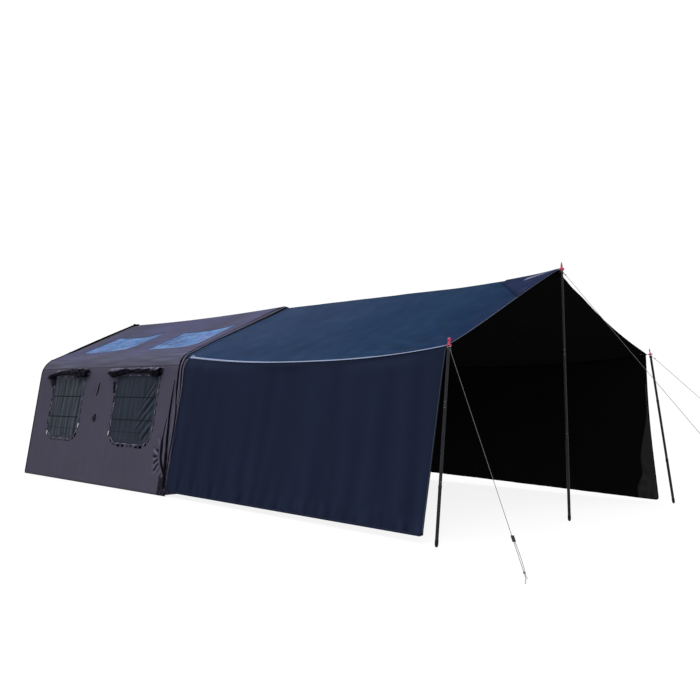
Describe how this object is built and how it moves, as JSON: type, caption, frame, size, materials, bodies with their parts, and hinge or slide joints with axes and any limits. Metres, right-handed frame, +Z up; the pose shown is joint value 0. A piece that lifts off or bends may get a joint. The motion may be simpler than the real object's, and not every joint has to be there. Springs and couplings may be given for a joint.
{
  "type": "family tent with front canopy",
  "caption": "Ridge-roofed family tent with rounded eaves, mesh windows and roof skylights, zipped at its front arch to a long open canopy held by guyed poles.",
  "frame": {"origin": "centre of the tent's groundsheet, on the ground", "axes": "+Z up; Y along the ridge, the canopy's open end facing -Y; X across, the side with the visible windows at -X"},
  "size_m": [5.0615, 10.1997, 2.4633],
  "materials": {
    "groundsheet": "dark coated groundsheet cloth",
    "tent_wall": "charcoal-grey coated oxford cloth",
    "tent_roof": "grey coated oxford cloth, lighter in the light from above",
    "window_mesh": "dark fine insect mesh",
    "skylight": "soft clear sheet with a blue cast",
    "air_beam": "dark sleeve over an inflated tube",
    "joining_strip": "dark navy cloth with two zips",
    "canopy_roof": "navy coated cloth, black inside",
    "canopy_wall": "dark navy coated cloth, black inside",
    "pole": "black satin steel tube",
    "pole_cap": "crimson moulded cap",
    "guy_rope": "light grey braided rope",
    "peg": "plain steel peg"
  },
  "bodies": {
    "root": {"groundsheet": "groundsheet", "wall_left": "tent_wall", "roof_left": "tent_roof", "window_mesh_left_rear": "window_mesh", "flap_roll_left_rear": "tent_wall", "skylight_left_rear": "skylight", "window_mesh_left_front": "window_mesh", "flap_roll_left_front": "tent_wall", "skylight_left_front": "skylight", "wall_right": "tent_wall", "roof_right": "tent_roof", "window_mesh_right_rear": "window_mesh", "flap_roll_right_rear": "tent_wall", "skylight_right_rear": "skylight", "window_mesh_right_front": "window_mesh", "flap_roll_right_front": "tent_wall", "skylight_right_front": "skylight", "wall_front": "tent_wall", "wall_rear": "tent_wall", "window_mesh_rear": "window_mesh", "flap_roll_rear": "tent_wall", "door_roll": "tent_wall", "air_arch_front": "air_beam", "air_arch_rear": "air_beam", "air_beam_ridge": "air_beam", "air_beam_eave_left": "air_beam", "air_beam_eave_right": "air_beam", "joining_strip": "joining_strip", "canopy_roof": "canopy_roof", "canopy_wall_left": "canopy_wall", "canopy_wall_right": "canopy_wall", "pole_left_lower": "pole", "pole_left_middle": "pole", "pole_left_upper": "pole", "pole_cap_left": "pole_cap", "guy_rope_left": "guy_rope", "peg_left": "peg", "pole_centre_lower": "pole", "pole_centre_middle": "pole", "pole_centre_upper": "pole", "pole_cap_centre": "pole_cap", "guy_rope_centre": "guy_rope", "peg_centre": "peg", "pole_right_lower": "pole", "pole_right_middle": "pole", "pole_right_upper": "pole", "pole_cap_right": "pole_cap", "guy_rope_right": "guy_rope", "peg_right": "peg"}
  },
  "joints": []
}
